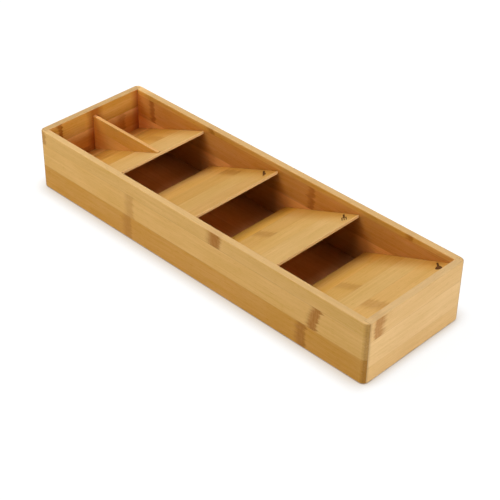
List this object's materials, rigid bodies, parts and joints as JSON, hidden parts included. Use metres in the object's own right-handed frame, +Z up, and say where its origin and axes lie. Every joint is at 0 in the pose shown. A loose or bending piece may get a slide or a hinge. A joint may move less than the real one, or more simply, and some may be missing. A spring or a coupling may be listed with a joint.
{
  "type": "cutlery tray",
  "caption": "Long narrow bamboo drawer tray with sloping overlapping decks for stacked cutlery and a split far compartment for small items.",
  "frame": {"origin": "centre of the tray on the surface its feet stand on", "axes": "+X along the tray to the near end, where the decks climb to, +Y across to the back wall that the pictograms stand beside, +Z up"},
  "size_m": [0.398, 0.1212, 0.0608],
  "materials": {
    "long_wall_bamboo": "satin lacquered bamboo",
    "end_wall_bamboo": "satin lacquered bamboo",
    "deck_bamboo": "satin lacquered bamboo",
    "divider_bamboo": "satin lacquered bamboo",
    "base_bamboo": "satin lacquered bamboo",
    "foot_rubber": "matt non-slip pad"
  },
  "bodies": {
    "root": {"front_wall": "long_wall_bamboo", "back_wall": "long_wall_bamboo", "near_end_wall": "end_wall_bamboo", "far_end_wall": "end_wall_bamboo", "base_panel": "base_bamboo", "small_items_deck": "deck_bamboo", "knife_deck": "deck_bamboo", "fork_deck": "deck_bamboo", "spoon_deck": "deck_bamboo", "small_items_divider": "divider_bamboo", "foot_near_front": "foot_rubber", "foot_near_back": "foot_rubber", "foot_far_front": "foot_rubber", "foot_far_back": "foot_rubber"}
  },
  "joints": []
}
